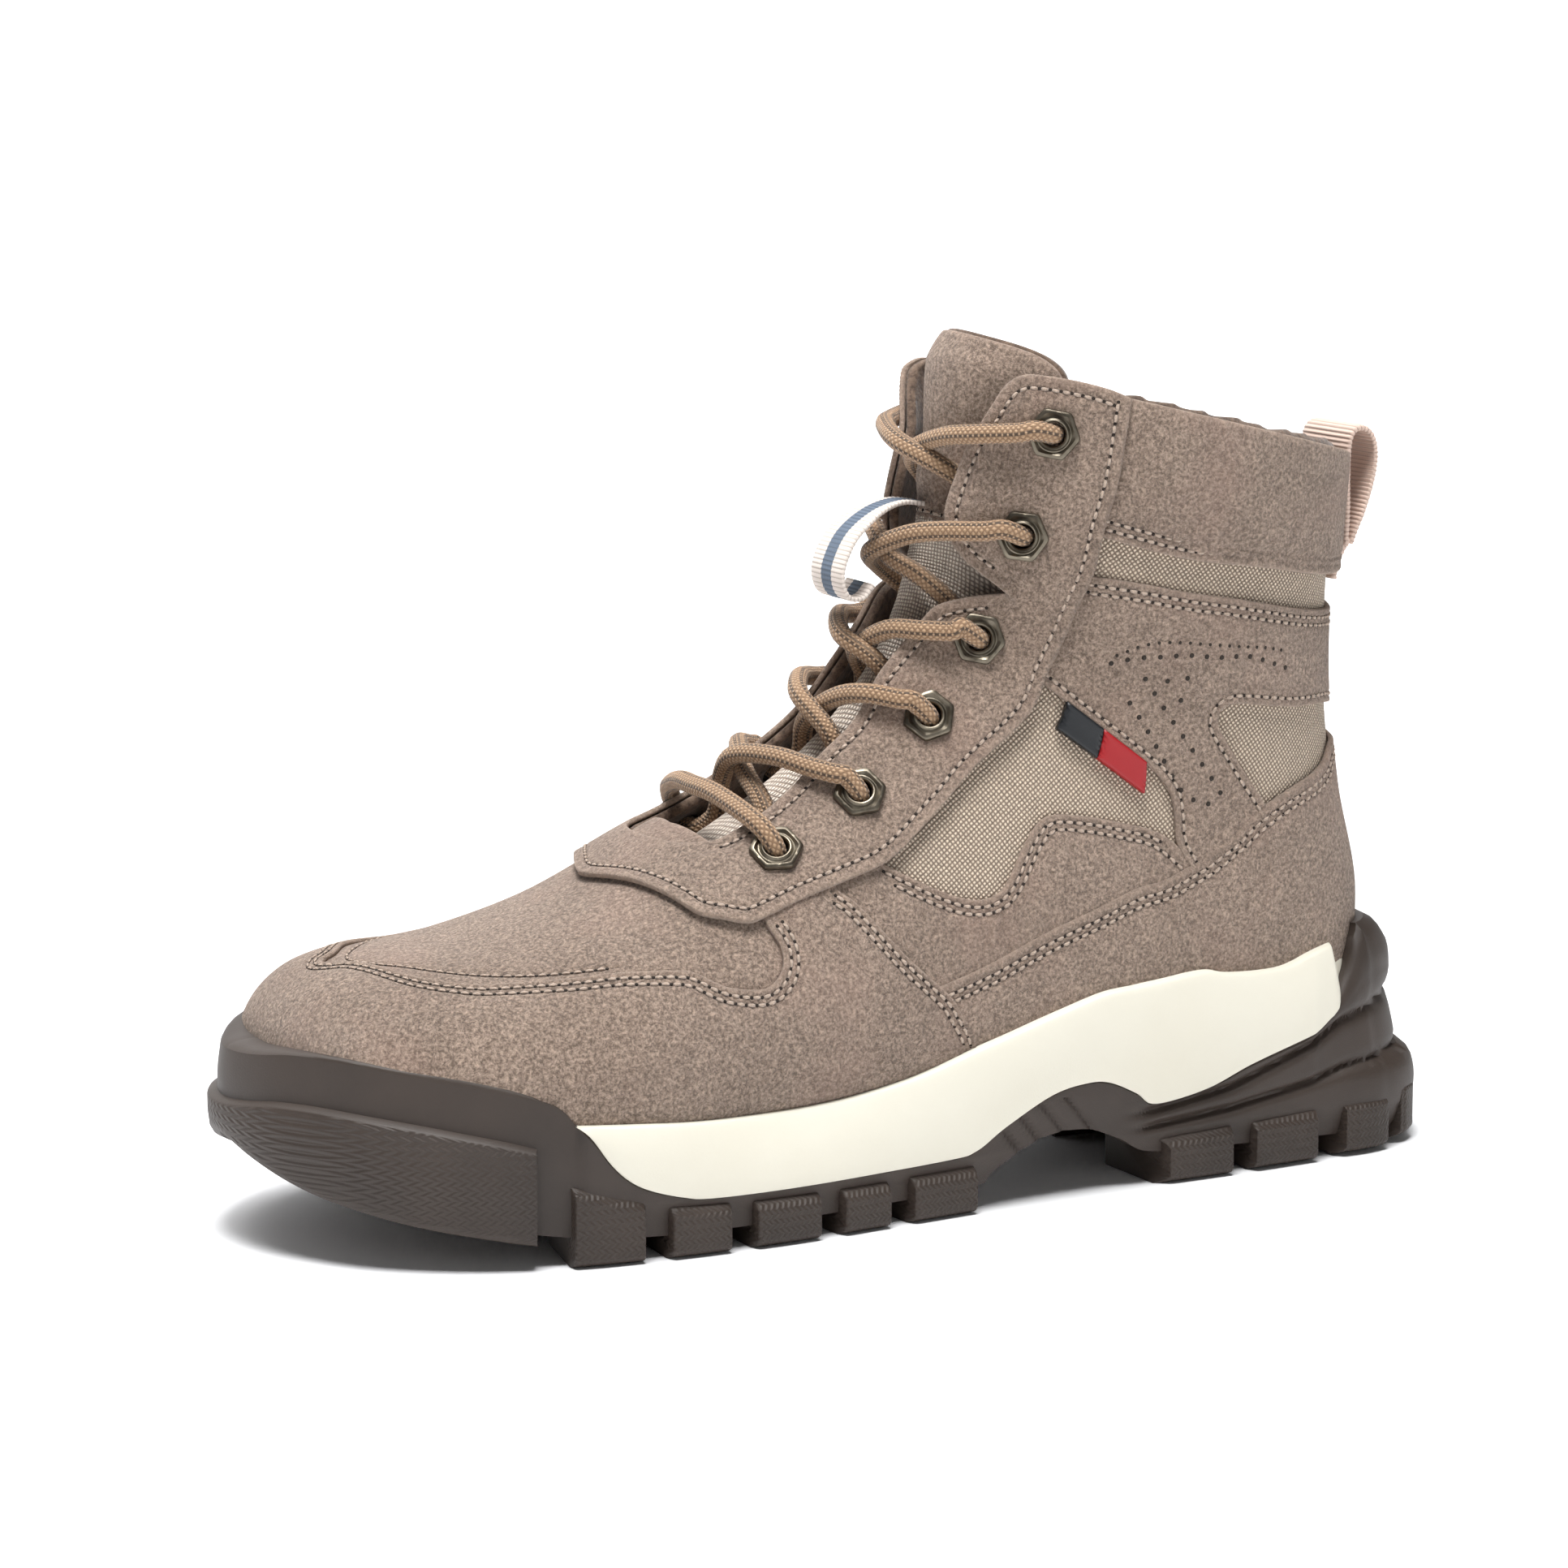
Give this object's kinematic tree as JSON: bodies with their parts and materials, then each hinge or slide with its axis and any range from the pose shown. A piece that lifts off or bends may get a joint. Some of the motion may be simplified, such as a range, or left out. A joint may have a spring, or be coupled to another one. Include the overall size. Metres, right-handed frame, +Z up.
{
  "type": "steel toe work boot",
  "caption": "Left lace-up ankle work boot with a steel toe cap, suede and canvas upper, padded collar, and a lugged rubber sole on a foam midsole.",
  "frame": {"origin": "centre of the footprint's bounding box, on the ground plane under the lugs", "axes": "+X towards the toe, +Y towards the outer side of the left foot, +Z up"},
  "size_m": [0.2996, 0.1079, 0.1966],
  "materials": {
    "suede": "soft taupe suede with a short nap",
    "canvas": "coarse plain-weave beige canvas",
    "tongue_cloth": "pale plain-weave canvas",
    "lining": "brown napped textile lining",
    "foam": "soft open-cell padding foam",
    "midsole_foam": "moulded cream foam",
    "outsole_rubber": "moulded dark brown rubber",
    "footbed_foam": "fabric-topped moulded foam",
    "board": "pressed fibre board",
    "steel": "hardened and tempered steel, lacquered",
    "edge_rubber": "black rubber tape",
    "stiffener": "thermoformed heel counter",
    "eyelet_metal": "dark bronze plated, satin",
    "lace_cord": "round braided cord, tan with dark flecks",
    "aglet_plastic": "heat-shrunk tube",
    "heel_webbing": "ribbed woven webbing",
    "tongue_webbing": "woven webbing with a blue-grey centre stripe",
    "label": "woven label in black and red, no marks"
  },
  "bodies": {
    "root": {"outsole": "outsole_rubber", "midsole": "midsole_foam", "puncture_plate": "steel", "insole_board": "board", "toe_cap": "steel", "toe_cap_edge_strip": "edge_rubber", "heel_stiffener": "stiffener", "toe_mudguard": "suede", "vamp_plug": "suede", "vamp_lining": "lining", "eyestay": "suede", "quarter_canvas_lateral": "canvas", "quarter_canvas_medial": "canvas", "facing_lining_lateral": "lining", "facing_lining_medial": "lining", "lower_overlay_lateral": "suede", "lower_overlay_medial": "suede", "ankle_overlay_lateral": "suede", "ankle_overlay_medial": "suede", "heel_cover": "suede", "collar_cover_lateral": "suede", "collar_cover_medial": "suede", "collar_foam_lateral": "foam", "collar_foam_medial": "foam", "quarter_lining_lateral": "lining", "quarter_lining_medial": "lining", "side_label": "label", "eyelets_lateral": "eyelet_metal", "eyelets_medial": "eyelet_metal", "lace": "lace_cord", "lace_aglets": "aglet_plastic", "heel_loop_base": "heel_webbing"},
    "tongue": {"tongue_canvas": "tongue_cloth", "tongue_suede_top": "suede", "tongue_foam": "foam", "tongue_lining": "lining", "tongue_loop": "tongue_webbing"},
    "footbed": {"footbed": "footbed_foam"},
    "heel_loop": {"heel_loop": "heel_webbing"}
  },
  "joints": [
    {"name": "tongue_tilt", "type": "hinge", "parent": "root", "child": "tongue", "pos_m": [0.04, 0, 0.08], "axis": [0, -1, 0], "range_deg": [0, 2]},
    {"name": "insole_lift", "type": "hinge", "parent": "root", "child": "footbed", "pos_m": [0.128, 0, 0.0272], "axis": [0, 1, 0], "range_deg": [0, 4]},
    {"name": "heel_loop_fold", "type": "hinge", "parent": "root", "child": "heel_loop", "pos_m": [-0.1302, 0, 0.144], "axis": [0, -1, 0], "range_deg": [0, 60], "stiffness_Nm_per_rad": 0.004}
  ]
}
